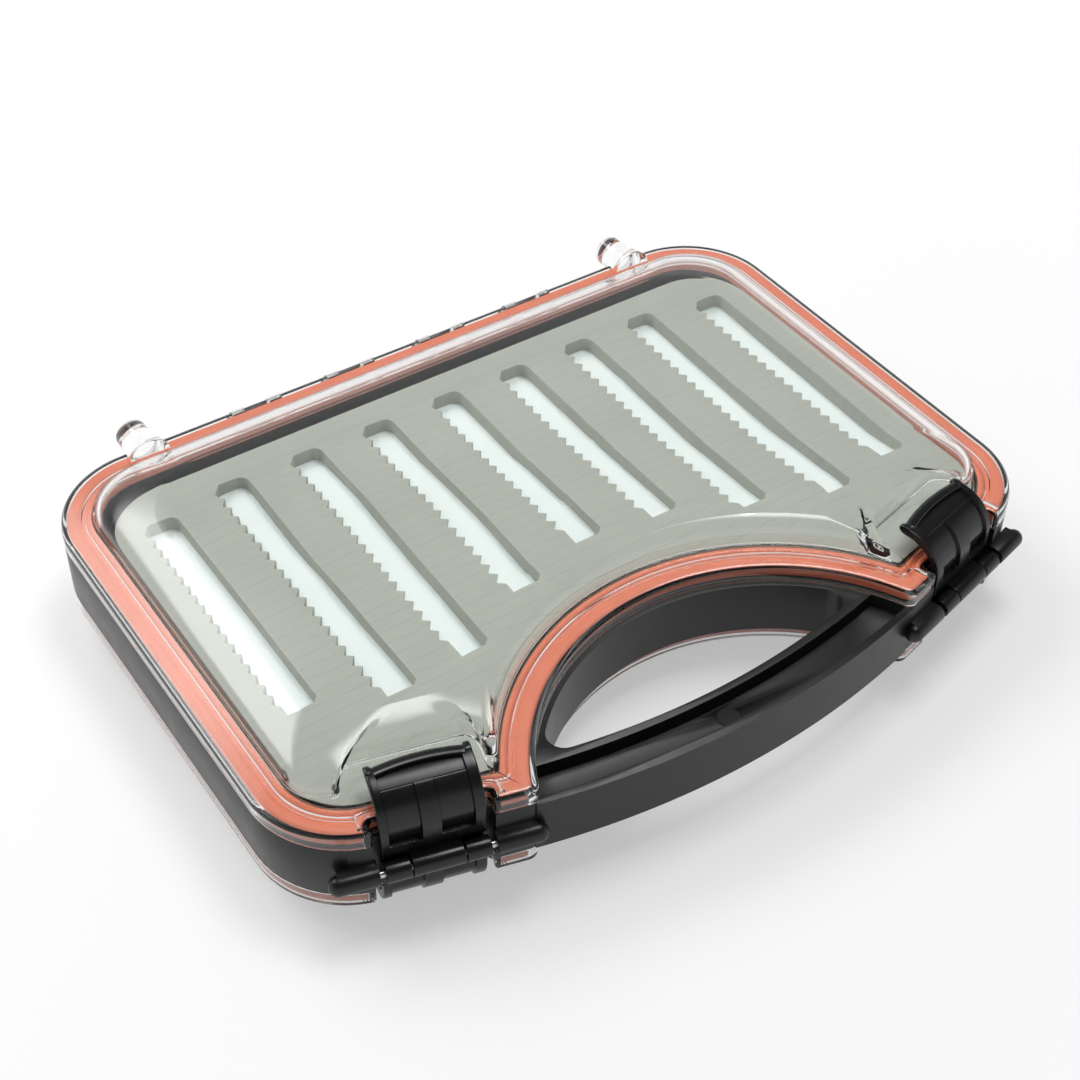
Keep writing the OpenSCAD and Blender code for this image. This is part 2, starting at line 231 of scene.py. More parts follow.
def through_hollow(spots):
    """Plan points of arcs given beside the latch: middle u, middle v, radius, start, end."""
    return [by_latch(*p) for spot in spots for p in arc(spot[:2], *spot[2:], HOLLOW_STEPS)]


def past_latch(inset, end):
    """Points of a rim line that runs straight past the latch, facing the points of its gap."""
    face = FACE + inset
    radius = RIM_FRONT_R - inset
    bend = corner_along(RIM_HALF - inset, radius, face)
    stretches = ((-20.5, -19.0), (-18.8, -13.0), (13.0, end - 1.2), (end - 1.1, end - 0.2))
    points = []
    for first, last in stretches:
        for i in range(HOLLOW_STEPS + 1):
            u = first + (last - first) * i / HOLLOW_STEPS
            side = min(u - bend, 0)
            points.append(by_latch(u, face + radius - math.sqrt(radius**2 - side**2)))
    return points


def rim_outline(inset, gaps=True):
    """Edge of the lid rim, moved inwards, with its latch gaps or straight past them."""
    face = FACE + inset
    corner = front_corner(RIM_HALF - inset, RIM_FRONT_R - inset, face)
    horn = max(HORN_R - inset / 5, 1.2)
    end = meets_arc(face + horn, RIM_ARC + inset + horn)
    if gaps:
        lip = max(NOTCH_LIP_R - inset, 0.15)
        reach = NOTCH_HALF + inset + lip
        last = by_latch(-reach, face)
        spots = (
            (-reach, face + lip, lip, 270, 360),
            (-NOTCH_HALF + NOTCH_R, NOTCH_BACK - NOTCH_R, NOTCH_R + inset, 180, 90),
            (NOTCH_HALF - NOTCH_R, NOTCH_BACK - NOTCH_R, NOTCH_R + inset, 90, 0),
            (reach, face + lip, lip, 180, 270),
        )
        front = through_hollow(spots)
    else:
        front = past_latch(inset, end)
        last = front[0]
    turn = angle_of(last[0] - corner[0], last[1] - corner[1]) % 360
    middle = by_latch(end, face + horn)
    back = (-RIM_HALF + RIM_BACK_R, RIM_BACK - RIM_BACK_R)
    return whole(
        arc(back, RIM_BACK_R - inset, 90, 180, CORNER_STEPS)
        + arc(corner, RIM_FRONT_R - inset, 180, turn, FRONT_STEPS)
        + front
        + to_arc(middle, horn, FACE_ANGLE, RIM_ARC + inset)
    )


def dome_foot(inset):
    """Foot of the dome with the hollow behind each latch, moved inwards."""
    lip = DOME_HORN_R - inset / 3
    radius = DOME_ARC + inset
    right = HOLLOW_RIGHT + inset
    u = right + lip
    v = math.sqrt((radius + lip) ** 2 - (u + ALONG) ** 2) - BEHIND
    side = max(HOLLOW_TURN, v + 0.1)
    bend = HOLLOW_BACK + inset - side
    turn = HOLLOW_BACK - HOLLOW_TURN
    spots = (
        (HOLLOW_LEFT - 2, HOLLOW_FRONT, max(HOLLOW_LIP_R - inset * 0.8, 0.3), 270, 360),
        (HOLLOW_LEFT + turn, HOLLOW_TURN, turn + inset, 180, 90),
        (right - bend, side, bend, 90, 0),
    )
    steps = [(i + 1) / (HOLLOW_STEPS + 2) for i in range(HOLLOW_STEPS + 1)]
    straight = [by_latch(right, side + (v - side) * share) for share in steps]
    back, front = DOME_BACK, DOME_FRONT
    return whole(
        arc(back[0], back[1] - inset, 90, 180, CORNER_STEPS)
        + arc(by_latch(*front[0]), front[1] - inset, 180, FACE_ANGLE, FRONT_STEPS)
        + through_hollow(spots)
        + straight
        + to_arc(by_latch(u, v), lip, FACE_ANGLE - 90, radius)
    )


def fold_line(inset):
    """Crease round the flat top of the dome, with points that match the foot's."""
    back, front = FOLD_BACK, FOLD_FRONT
    start, behind = front[0]
    line = behind - front[1] + inset
    radius = FOLD_ARC + inset
    end = meets_arc(line + FOLD_HORN_R, radius + FOLD_HORN_R)
    count = 4 * (HOLLOW_STEPS + 1)
    straight = []
    for i in range(1, count + 1):
        share = i / (count + 1)
        bow = FOLD_BOW * math.sin(math.pi * share)
        straight.append(by_latch(start + (end - start) * share, line + bow))
    return whole(
        arc(back[0], back[1] - inset, 90, 180, CORNER_STEPS)
        + arc(by_latch(start, behind), front[1] - inset, 180, FACE_ANGLE, FRONT_STEPS)
        + straight
        + to_arc(by_latch(end, line + FOLD_HORN_R), FOLD_HORN_R, FACE_ANGLE, radius)
    )


def between(a, b, share):
    """Outline a share of the way from one outline to another with as many points."""
    return [(p[0] + (q[0] - p[0]) * share, p[1] + (q[1] - p[1]) * share) for p, q in zip(a, b)]


def foam_outline(inset):
    """Edge of the foams, moved inwards."""
    radius = FOAM_FRONT_R - inset
    corner = front_corner(FOAM_HALF - inset, radius, FOAM_FRONT + inset)
    arc_radius = FOAM_ARC + inset
    v = FOAM_FRONT + inset + FOAM_HORN_R
    middle = by_latch(meets_arc(v, arc_radius + FOAM_HORN_R), v)
    back = (FOAM_BACK_R - FOAM_HALF, FOAM_BACK - FOAM_BACK_R)
    return whole(
        arc(back, FOAM_BACK_R - inset, 90, 180, CORNER_STEPS)
        + arc(corner, radius, 180, FACE_ANGLE, FRONT_STEPS)
        + to_arc(middle, FOAM_HORN_R, FACE_ANGLE, arc_radius)
    )


# ---- meshes ----


def placed(x, y, z):
    """Metres in the row frame from plan millimetres and the height over the middle plane."""
    return Vector((x * MM, (y - PLAN_SHIFT) * MM, (z + HALF_THICK) * MM))


def linked(name, mesh):
    """Object of a mesh, put in the scene."""
    made = bpy.data.objects.new(name, mesh)
    bpy.context.scene.collection.objects.link(made)
    return made


def new_object(name, bm):
    """Object from a bmesh, which is used up, with its faces turned outwards."""
    bmesh.ops.recalc_face_normals(bm, faces=bm.faces)
    mesh = bpy.data.meshes.new(name)
    bm.to_mesh(mesh)
    bm.free()
    return linked(name, mesh)


def mirrored(obj, name, axis):
    """The piece on the other side of the case: axis 0 for left to right, 2 for top to bottom."""
    turn = Matrix.Identity(4)
    turn[axis][axis] = -1
    if axis == 2:
        turn[2][3] = 2 * HALF_THICK * MM
    mesh = obj.data.copy()
    mesh.name = name
    mesh.transform(turn)
    mesh.flip_normals()
    return linked(name, mesh)


def smooth(obj, degrees):
    """Smooth shading with creases where faces meet at more than this angle."""
    obj.data.polygons.foreach_set("use_smooth", [True] * len(obj.data.polygons))
    obj.data.set_sharp_from_angle(angle=math.radians(degrees))
    return obj


def join_loops(bm, low, high):
    """Band of faces between two loops of matching points."""
    count = len(low)
    for i in range(count):
        j = (i + 1) % count
        bm.faces.new((low[i], high[i], high[j], low[j]))


def add_solid(bm, loops):
    """Closed solid through loops of matching points."""
    for low, high in zip(loops, loops[1:]):
        join_loops(bm, low, high)
    bm.faces.new(loops[0])
    bm.faces.new(loops[-1])


def add_rings(bm, rings):
    """Bands of faces through rings of matching points, each (outline, height)."""
    loops = [[bm.verts.new(placed(x, y, z)) for x, y in outline] for outline, z in rings]
    for low, high in zip(loops, loops[1:]):
        join_loops(bm, low, high)
    return loops


# the opening's main arc, and how near an end of it a point is moved onto that end
OPENING_R = 67.0 * MM
OPENING_STEP = 3.2 * MM


def even_opening(bm):
    """Moves the opening's back wall, where it lies under the lid's rim, onto its main arc."""
    middle = placed(*ARC_MIDDLE, 0)
    walls = []
    for v in bm.verts:
        out = Vector((v.co.x - middle.x, v.co.y - middle.y))
        if out.y > 0.8 * OPENING_R:
            walls.append((v, out))
    ends = [out.copy() for v, out in walls if abs(out.length - OPENING_R) < 0.05 * MM]
    for v, out in walls:
        if abs(out.length - RIM_ARC * MM) < 0.1 * MM:
            near = min(ends, key=lambda end: (end - out).length)
            joined = (near - out).length < OPENING_STEP
            aim = near if joined else out * (OPENING_R / out.length)
            v.co.x, v.co.y = middle.x + aim.x, middle.y + aim.y


def soft_frame(name, width):
    """Copy of the frame's solid with an even opening and rounded edges."""
    bm = bmesh.new()
    bm.from_mesh(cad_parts["frame"].data)
    even_opening(bm)
    bmesh.ops.remove_doubles(bm, verts=bm.verts, dist=0.002 * MM)
    bmesh.ops.dissolve_degenerate(bm, dist=0.001 * MM, edges=bm.edges)
    bmesh.ops.dissolve_limit(
        bm, angle_limit=math.radians(0.6), verts=bm.verts, edges=bm.edges, delimit={"NORMAL"}
    )
    crease = math.radians(30)
    edges = [e for e in bm.edges if len(e.link_faces) == 2 and e.calc_face_angle(0) > crease]
    settings = {"offset_type": "OFFSET", "segments": 2, "profile": 0.5, "affect": "EDGES"}
    settings |= {"clamp_overlap": True, "miter_outer": "ARC", "loop_slide": True}
    bmesh.ops.bevel(bm, geom=edges, offset=width, **settings)
    return smooth(new_object(name, bm), 28)


def combine(obj, other, operation):
    """Exact boolean of obj with other, which is used up."""
    step = obj.modifiers.new("join", "BOOLEAN")
    step.operation = operation
    step.solver = "EXACT"
    step.object = other
    bpy.context.view_layer.update()
    shown = obj.evaluated_get(bpy.context.evaluated_depsgraph_get())
    mesh = bpy.data.meshes.new_from_object(shown)
    obj.modifiers.clear()
    obj.data = mesh
    bpy.data.objects.remove(other)
    return obj


def tube(bm, start, end, radius_a, radius_b=None, steps=40, dome=0.0):
    """Round bar between two points in metres, its ends rounded by dome metres."""
    radius_b = radius_a if radius_b is None else radius_b
    axis = end - start
    turn = axis.to_track_quat("Z", "Y").to_matrix()
    stations = [(0.0, radius_a), (axis.length, radius_b)]
    if dome:
        turns = [math.radians(15 * k) for k in range(1, 6)]
        rounds = [(dome * (1 - math.sin(a)), dome * (1 - math.cos(a))) for a in turns]
        stations = [(back, radius_a - fall) for back, fall in reversed(rounds)]
        stations += [(dome, radius_a), (axis.length - dome, radius_b)]
        stations += [(axis.length - back, radius_b - fall) for back, fall in rounds]
    loops = []
    for along, radius in stations:
        ring = []
        for i in range(steps):
            t = 2 * math.pi * i / steps
            spot = Vector((radius * math.cos(t), radius * math.sin(t), along))
            ring.append(bm.verts.new(start + turn @ spot))
        loops.append(ring)
    for low, high in zip(loops, loops[1:]):
        for i in range(steps):
            j = (i + 1) % steps
            bm.faces.new((low[i], low[j], high[j], high[i]))
    bm.faces.new(list(reversed(loops[0])))
    bm.faces.new(loops[-1])


def block(bm, low, high):
    """Box between two plan corners in millimetres."""
    a, b = placed(*low), placed(*high)
    for v in bmesh.ops.create_cube(bm, size=1)["verts"]:
        v.co = Vector(((a + b) / 2)[i] + v.co[i] * abs((b - a)[i]) for i in range(3))


# ---- finishes ----


class Socket:
    """A shader value that can be written as maths."""

    def __init__(self, tree, output):
        self.tree = tree
        self.output = output

    def maths(self, operation, first, second, clamp=False):
        settings = {"operation": operation, "use_clamp": clamp}
        return self.tree.value("ShaderNodeMath", settings, {0: first, 1: second})

    def __add__(self, other):
        return self.maths("ADD", self, other)

    def __mul__(self, other):
        return self.maths("MULTIPLY", self, other)

    def __sub__(self, other):
        return self.maths("SUBTRACT", self, other)

    def __rsub__(self, other):
        return self.maths("SUBTRACT", other, self)

    def below(self, limit):
        """1 under the limit, 0 over it."""
        return self.maths("LESS_THAN", self, limit)

    def wrapped(self, length):
        """Distance from the nearest multiple of length."""
        return self.maths("PINGPONG", self, length / 2)


class Finish:
    """The node tree of a material, a lamp or the world, built by one method."""

    def __init__(self, owner):
        owner.use_nodes = True
        self.owner = owner
        self.nodes = owner.node_tree.nodes
        self.links = owner.node_tree.links
        self.nodes.clear()

    def node(self, kind, settings=None, values=None):
        node = self.nodes.new(kind)
        for key, value in (settings or {}).items():
            setattr(node, key, value)
        for key, value in (values or {}).items():
            socket = node.inputs[key]
            if isinstance(value, Socket):
                self.links.new(value.output, socket)
            elif socket.type == "RGBA":
                socket.default_value = (*value, 1)
            else:
                socket.default_value = value
        return node

    def value(self, kind, settings=None, values=None, output=0):
        return Socket(self, self.node(kind, settings, values).outputs[output])

    def place(self):
        """The point of the surface, in the piece's own metres."""
        return self.value("ShaderNodeTexCoord", output="Object")

    def noise(self, scale, detail=2.0, rough=0.5, at=None):
        values = {"Vector": at or self.place(), "Scale": scale, "Detail": detail}
        values["Roughness"] = rough
        return self.value("ShaderNodeTexNoise", {"noise_dimensions": "3D"}, values)

    def mix(self, share, first, second):
        values = {0: share, 6: first, 7: second}
        return self.value("ShaderNodeMix", {"data_type": "RGBA"}, values, output=2)

    def bump(self, height, strength, distance):
        values = {"Height": height, "Strength": strength, "Distance": distance}
        return self.value("ShaderNodeBump", None, values)

    def surface(self, values):
        return self.value("ShaderNodeBsdfPrincipled", None, values)

    def looks(self, *kinds):
        """1 for the named kinds of look at this surface, 0 for the light that falls on things."""
        outputs = self.node("ShaderNodeLightPath").outputs
        seen = Socket(self, outputs[kinds[0]])
        for kind in kinds[1:]:
            seen = seen.maths("MAXIMUM", seen, Socket(self, outputs[kind]))
        return seen * Socket(self, outputs["Diffuse Depth"]).below(0.5)

    def done(self, shader, kind="ShaderNodeOutputMaterial"):
        self.node(kind, None, {"Surface": shader})
        return self.owner


def scaled(tone, share, lift=0.0):
    """A colour made darker or lighter, held at white."""
    return tuple(min(c * share + lift, 1) for c in tone)


def moulded(name, tone, rough, texture):
    """Injection-moulded dark plastic: faint flow mottle, fine spark-eroded grain, smears."""
    f = Finish(bpy.data.materials.new(name))
    cloud = f.noise(38, 3, 0.55)
    smear = f.noise(160, 4, 0.6)
    values = {
        "Base Color": f.mix(cloud, scaled(tone, 0.75), scaled(tone, 1.3)),
        "Roughness": smear * 0.14 + (rough - 0.07),
        "Specular IOR Level": 0.42,
        "Normal": f.bump(f.noise(5200, 2, 0.6), texture, 0.02 * MM),
    }
    return f.done(f.surface(values))


def clear_plastic(name, tone):
    """Polished clear plastic: lets lamps through, with faint moulding ripple and handling haze."""
    f = Finish(bpy.data.materials.new(name))
    haze = f.noise(60, 3, 0.55)
    ripple = f.noise(22, 1, 0.4)
    values = {
        "Base Color": tone,
        "Roughness": haze.maths("MULTIPLY", haze, 0.05, clamp=True) + 0.012,
        "IOR": 1.49,
        "Transmission Weight": 1.0,
        "Normal": f.bump(ripple, 0.05, 1.0 * MM),
    }
    glass = f.surface(values)
    passing = f.value("ShaderNodeBsdfTransparent", None, {"Color": (0.95, 0.965, 0.96)})
    shadow = f.value("ShaderNodeLightPath", output="Is Shadow Ray")
    return f.done(f.value("ShaderNodeMixShader", None, {0: shadow, 1: glass, 2: passing}))


def silicone(name, tone):
    """Satin orange silicone with a little bloom on it."""
    f = Finish(bpy.data.materials.new(name))
    cloud = f.noise(90, 3, 0.6)
    base = f.mix(cloud, scaled(tone, 0.9), scaled(tone, 1.1, lift=0.004))
    values = {
        "Base Color": base,
        "Roughness": cloud * 0.2 + 0.32,
        "Normal": f.bump(f.noise(2600, 2), 0.15, 0.05 * MM),
    }
    return f.done(f.surface(values))


def foam(name, tone, cells, slit=None):
    """Closed-cell foam: fine pores over a soft mottle, and the row of slits beside the teeth, cut
    in by bump and darkened with painted shade.
    """
    f = Finish(bpy.data.materials.new(name))
    at = f.place()
    pores = f.value("ShaderNodeTexVoronoi", {"feature": "F1"}, {"Vector": at, "Scale": cells})
    cloud = f.noise(28, 3, 0.55, at)
    fine = f.noise(1500, 3, 0.6, at)
    base = f.mix(cloud, scaled(tone, 0.93), scaled(tone, 1.05))
    base = f.mix(fine * 0.35, base, scaled(tone, 0.86))
    height = pores * 0.6 + fine
    if slit:
        pitch, phase = slit
        across = f.value("ShaderNodeSeparateXYZ", None, {0: at}, output=1)
        wander = f.noise(55, 2, 0.5, at)
        line = (across + wander * (1.6 * MM) - phase).wrapped(pitch).below(0.16 * MM)
        # painted shade: each slit's line is darkened to stand in for the shade inside the cut
        base = f.mix(line * 0.30, base, scaled(tone, 0.62))
        height = height - line * 3.0
    values = {
        "Base Color": base,
        "Roughness": 0.92,
        "Specular IOR Level": 0.25,
        "Normal": f.bump(height, 0.35, 0.09 * MM),
    }
    return f.done(f.surface(values))


def wire(name, tone):
    """Drawn steel wire."""
    f = Finish(bpy.data.materials.new(name))
    drawn = {"Vector": f.place(), "Scale": (40, 6000, 6000)}
    along = f.value("ShaderNodeMapping", None, drawn)
    scratch = f.noise(1, 2, 0.5, along)
    values = {
        "Base Color": f.mix(scratch, scaled(tone, 0.85), tone),
        "Metallic": 1.0,
        "Roughness": scratch * 0.15 + 0.22,
    }
    return f.done(f.surface(values))


def studio_floor(name, tone):
    """Plain pale floor that keeps the object's shadow and runs out to white away from it."""
    f = Finish(bpy.data.materials.new(name))
    cloud = f.noise(3, 2, 0.5)
    base = f.mix(cloud, tone, scaled(tone, 1.02))
    matte = f.surface({"Base Color": base, "Roughness": 0.9, "Specular IOR Level": 0.1})
    white = f.value("ShaderNodeEmission", None, {"Color": (1, 1, 1), "Strength": 1.0})
    away = f.value("ShaderNodeVectorMath", {"operation": "LENGTH"}, {0: f.place()}, output=1)
    span = {"Value": away, "From Min": 0.12, "From Max": 0.34, "To Min": 0.45}
    far = f.value("ShaderNodeMapRange", {"interpolation_type": "SMOOTHSTEP"}, span)
    seen = f.looks("Is Camera Ray", "Is Glossy Ray", "Is Transmission Ray")
    return f.done(f.value("ShaderNodeMixShader", None, {0: seen * far, 1: matte, 2: white}))


def studio_world():
    """Pale to the camera and through clear plastic, darker overhead in reflections."""
    f = Finish(bpy.data.worlds.new("studio"))
    glossy = f.looks("Is Glossy Ray")
    plain = f.looks("Is Camera Ray", "Is Transmission Ray")
    way = f.value("ShaderNodeTexCoord", output="Generated")
    height = f.value("ShaderNodeSeparateXYZ", None, {0: way}, output=2)
    span = {"Value": height, "From Min": 0.3, "From Max": 0.55, "To Min": 1.0, "To Max": 0.15}
    gloss = f.value("ShaderNodeMapRange", None, span)
    level = glossy * gloss + (1 - glossy) * WORLD_LEVEL
    strength = plain + (1 - plain) * level
    sky = f.value("ShaderNodeBackground", None, {"Strength": strength})
    return f.done(sky, "ShaderNodeOutputWorld")


def finish_of(key):
    """The finish for one of the record's material slots, made once."""
    name = "finish_" + key
    if name in bpy.data.materials:
        return bpy.data.materials[name]
    tones = bpy.context.scene.fly_box_colours
    slits = (TOOTH_PITCH * MM, SLIT_PHASE)
    makers = {
        "frame": lambda: moulded(name, tones.case, 0.34, 0.22),
        "latch": lambda: moulded(name, tones.latch, 0.27, 0.12),
        "clear": lambda: clear_plastic(name, tones.clear),
        "gasket": lambda: silicone(name, tones.gasket),
        "slit_foam": lambda: foam(name, tones.slit, 2600, slit=slits),
        "foam_pad": lambda: foam(name, tones.pad, 2000),
        "pin": lambda: wire(name, tones.steel),
        "floor": lambda: studio_floor(name, tones.floor),
    }
    return makers[key]()


def dress(obj, key, body, node):
    """Gives a piece its finish, puts it on its body and hides the imported part that it takes the
    place of.
    """
    obj.data.materials.clear()
    obj.data.materials.append(finish_of(key))
    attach(obj, body)
    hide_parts(node)
    return obj


# ---- lids ----

# the hinges' middles, the line that their pins lie on, and the round of a knuckle
HINGE_X = (-50.6, -17.0, 17.0, 50.6)
HINGE_Y = 170.8
HINGE_Z = 7.2
KNUCKLE_R = 3.5
# an ear's distance from the middle of its hinge, half its width, and half the gap between a pair
EAR_MIDDLE = 6.35
EAR_HALF = 2.1
EAR_GAP = 4.3
PIN_BORE = 1.05
# the feet, and the boss that each one stands on, from its rim end to its outer end
FOOT_X = 89.3
FOOT_Z = 13.4
FOOT_BACK = 177.7
FOOT_R = 5.05
BOSS_R = (6.9, 5.6)
# the rim's underside, its edge's rounding inwards and down, the rounding at the dome's foot, and
# how far in from the fold line the flat top and the hollow's top begin
RIM_LOW = FRAME_HALF + 0.2
RIM_ROUND = (1.9, 1.7)
FOOT_ROUND = 0.9
CREASE = 1.4
CREASE_INSIDE = 0.8
# the dome's outside and its hollow: share of the way in from foot to fold, and height
DOME_SECTION = (
    (0.004, 16.4), (0.02, 17.15), (0.045, 17.75), (0.085, 18.35), (0.14, 18.95),
    (0.22, 19.6), (0.32, 20.2), (0.44, 20.72), (0.58, 21.2), (0.74, 21.65),
    (0.88, 22.0), (1.0, 22.27),
)
HOLLOW_SECTION = (
    (1.0, 20.75), (0.8, 20.35), (0.58, 19.75), (0.38, 19.0), (0.22, 18.2), (0.1, 17.3),
    (0.03, 16.2), (0.0, 14.9), (0.0, 13.4),
)
GROOVE_OUT = 1.9
GROOVE_TOP = 13.35
PRESS_LOW = 12.45
RIB_LOW = 10.7
SEAL_LOW = FRAME_HALF + 1.25
# the lid's rim from below, as distance in and height: the rib inside the seal, and the skirt
RIB_SECTION = (
    (1.2, GROOVE_TOP), (1.2, RIB_LOW + 0.1), (1.1, RIB_LOW), (0.3, RIB_LOW),
    (0.2, RIB_LOW + 0.1), (0.2, GROOVE_TOP),
)
SKIRT_SECTION = (
    (1.7, GROOVE_TOP), (1.7, RIM_LOW + 0.15), (1.5, RIM_LOW), (0.15, RIM_LOW),
    (0, RIM_LOW + 0.15),
)
# what presses into the seal, and the seal: share of the way in over the groove, and height
PRESS_SECTION = ((0.69, GROOVE_TOP), (0.66, PRESS_LOW), (0.56, PRESS_LOW), (0.53, GROOVE_TOP))
SEAL_SECTION = (
    (0.0, SEAL_LOW + 0.3), (0.0, 12.75), (0.03, 13.1), (0.1, 13.27), (0.22, 13.3),
    (0.36, 13.2), (0.45, 12.85), (0.5, 12.4), (0.55, 12.15), (0.67, 12.15),
    (0.72, 12.4), (0.76, 12.85), (0.83, 13.2), (0.9, 13.3), (0.97, 13.1), (1.0, 12.75),
    (1.0, SEAL_LOW + 0.3), (0.96, SEAL_LOW), (0.04, SEAL_LOW),
)


def over_groove(share):
    """Line in the seal's groove, which follows the latch gaps only on its outer side."""
    return between(rim_outline(GROOVE_OUT), rim_outline(LAND_WIDE, gaps=False), share)


def quarter(steps):
    """Part left of a rounding's width and of its height, from its start to its end."""
    turns = [math.radians(90 * k / steps) for k in range(steps + 1)]
    return [(1 - math.cos(t), 1 - math.sin(t)) for t in turns]


def lid_shell(name, sizes):
    """One clear moulding: skirt, grooved rim, steep wall, rounded shoulder, creased flat top."""
    ledge = sizes.ledge / MM
    foot, crease = dome_foot(0), fold_line(0)
    foot_in, crease_in = dome_foot(sizes.wall / MM), fold_line(CREASE_INSIDE)
    rings = [(rim_outline(LAND_WIDE + i, gaps=False), z) for i, z in RIB_SECTION]
    rings += [(over_groove(share), z) for share, z in PRESS_SECTION]
    rings += [(rim_outline(i), z) for i, z in SKIRT_SECTION]
    wide, tall = RIM_ROUND
    rings += [(rim_outline(wide * a), ledge - tall * b) for a, b in quarter(7)]
    rings += [(dome_foot(-FOOT_ROUND * b), ledge + FOOT_ROUND * a) for a, b in quarter(5)]
    rings += [(between(foot, crease, share), z) for share, z in DOME_SECTION]
    top = [(fold_line(CREASE), HALF_THICK)]
    inner = [(between(foot_in, crease_in, share), z) for share, z in HOLLOW_SECTION]
    bm = bmesh.new()
    outer = add_rings(bm, rings + top)
    inner_loops = add_rings(bm, inner)
    join_loops(bm, inner_loops[-1], outer[0])
    bm.faces.new(outer[-1])
    bm.faces.new(inner_loops[0])
    return new_object(name, bm)


# an ear's arm, as points behind the rim's back edge and heights
EAR_ARM = ((2.2, 12.3), (0.9, 13.3), (-0.9, 13.6), (-0.9, RIM_LOW + 0.05))


def ear_solids():
    """Hinge ears of a lid, round with an arm up to the rim, as one object."""
    outline = [(HINGE_Y + y, HINGE_Z + z) for y, z in arc((0, 0), KNUCKLE_R, -180, 60, 24)]
    outline += [(RIM_BACK + y, z) for y, z in EAR_ARM]
    bm = bmesh.new()
    for middle in HINGE_X:
        for side in SIDES:
            x = middle + side * EAR_MIDDLE
            ends = (x - EAR_HALF, x + EAR_HALF)
            add_solid(bm, [[bm.verts.new(placed(x, y, z)) for y, z in outline] for x in ends])
    return new_object("ears", bm)


def foot_solid(side):
    """Round foot on the back of the rim, with its tapered boss."""
    x = side * FOOT_X
    bm = bmesh.new()
    ends = [placed(x, y, FOOT_Z) for y in (RIM_BACK - 5, FOOT_BACK)]
    tube(bm, *ends, FOOT_R * MM, dome=0.7 * MM)
    made = new_object("foot", bm)
    bm = bmesh.new()
    ends = [placed(x, y, FOOT_Z) for y in (RIM_BACK - 6, RIM_BACK + 1)]
    tube(bm, *ends, BOSS_R[0] * MM, BOSS_R[1] * MM, dome=0.5 * MM)
    combine(made, new_object("boss", bm), "UNION")
    bm = bmesh.new()
    block(bm, (x - 9, 150, 4), (x + 9, RIM_BACK + 0.15, RIM_LOW))
    return combine(made, new_object("trim", bm), "DIFFERENCE")


# the ribs beside a latch, as place along the barrel, near end and far end behind it
FINS = ((-18.7, 3.6, 8.6), (18.9, 3.6, 7.8))
FIN_R = 0.6
FIN_TALL = 1.3
FIN_GAP = 0.03
FIN_END = 0.35


def add_fins(bm, ledge):
    """Small round-topped ribs that stand on the ledge beside each latch."""
    section = arc((0, 0), FIN_R, 0, 180, 10)
    level = ledge + FIN_GAP
    for side in SIDES:
        for u, near, far in FINS:
            loops = []
            for v, share in ((near, 0.5), (near + FIN_END, 1), (far - FIN_END, 1), (far, 0.5)):
                loop = []
                for a, b in section:
                    x, y = by_latch(u + a * share, v)
                    loop.append(bm.verts.new(placed(-side * x, y, level + b * FIN_TALL * share)))
                loops.append(loop)
            add_solid(bm, loops)


def finish_lid(obj, ledge):
    """Smooth shading with a crisp fold round the flat top, and the ribs on the ledge."""
    bm = bmesh.new()
    bm.from_mesh(smooth(obj, 34).data)
    level = placed(0, 0, DOME_SECTION[-1][1]).z
    for edge in bm.edges:
        if all(abs(v.co.z - level) < 2e-6 for v in edge.verts):
            edge.smooth = False
    add_fins(bm, ledge)
    bmesh.ops.recalc_face_normals(bm, faces=bm.faces)
    bm.to_mesh(obj.data)
    bm.free()
    return obj


def make_lid(name):
    """The clear top lid with its hinge ears, feet and pin bores."""
    sizes = bpy.context.scene.fly_box_sizes
    lid = lid_shell(name, sizes)
    combine(lid, ear_solids(), "UNION")
    for side in SIDES:
        combine(lid, foot_solid(side), "UNION")
    notches, bores = bmesh.new(), bmesh.new()
    for x in HINGE_X:
        block(notches, (x - EAR_GAP, RIM_BACK - 2.6, 8), (x + EAR_GAP, RIM_BACK + 3, 11))
        ends = [placed(x + side * 9.5, HINGE_Y, HINGE_Z) for side in SIDES]
        tube(bores, *ends, PIN_BORE * MM, steps=24)
    for cutter in (notches, bores):
        combine(lid, new_object("cutter", cutter), "DIFFERENCE")
    return finish_lid(lid, sizes.ledge / MM)


class FLYBOX_OT_lids(bpy.types.Operator):
    """Builds the two clear lids."""

    bl_idname = "flybox.lids"
    bl_label = "Lids"

    def execute(self, context):
        top = make_lid("clear_top_lid")
        for lid, node in ((top, "top_lid"), (mirrored(top, "clear_bottom_lid", 2), "bottom_lid")):
            dress(lid, "clear", node, node)
        return {"FINISHED"}


# ---- frame, gaskets, latches and pins ----


class FLYBOX_OT_frame(bpy.types.Operator):
    """Builds the dark frame with its handle."""

    bl_idname = "flybox.frame"
    bl_label = "Frame"

    def execute(self, context):
        edge = context.scene.fly_box_sizes.edge
        dress(soft_frame("moulded_frame", edge), "frame", "frame", "frame")
        return {"FINISHED"}


class FLYBOX_OT_gaskets(bpy.types.Operator):
    """Builds the orange seals in the lid rims."""

    bl_idname = "flybox.gaskets"
    bl_label = "Gaskets"

    def execute(self, context):
        bm = bmesh.new()
        loops = add_rings(bm, [(over_groove(share), z) for share, z in SEAL_SECTION])
        join_loops(bm, loops[-1], loops[0])
        top = smooth(new_object("seal_top", bm), 40)
        for seal, level in ((top, "top"), (mirrored(top, "seal_bottom", 2), "bottom")):
            dress(seal, "gasket", f"{level}_lid", f"{level}_gasket")
        return {"FINISHED"}


LATCH_HALF = 14.0
BARREL_R = 2.85
# the plate bends round this point behind the barrel and above it, and is straight below it
SHELL_MIDDLE = (14.5, 9.8)
SHELL_R = 12.1
SHELL_IN = 9.6
PLATE_FRONT = SHELL_MIDDLE[0] - SHELL_R
PLATE_BACK = SHELL_MIDDLE[0] - SHELL_IN
PLATE_LOW = 2.6
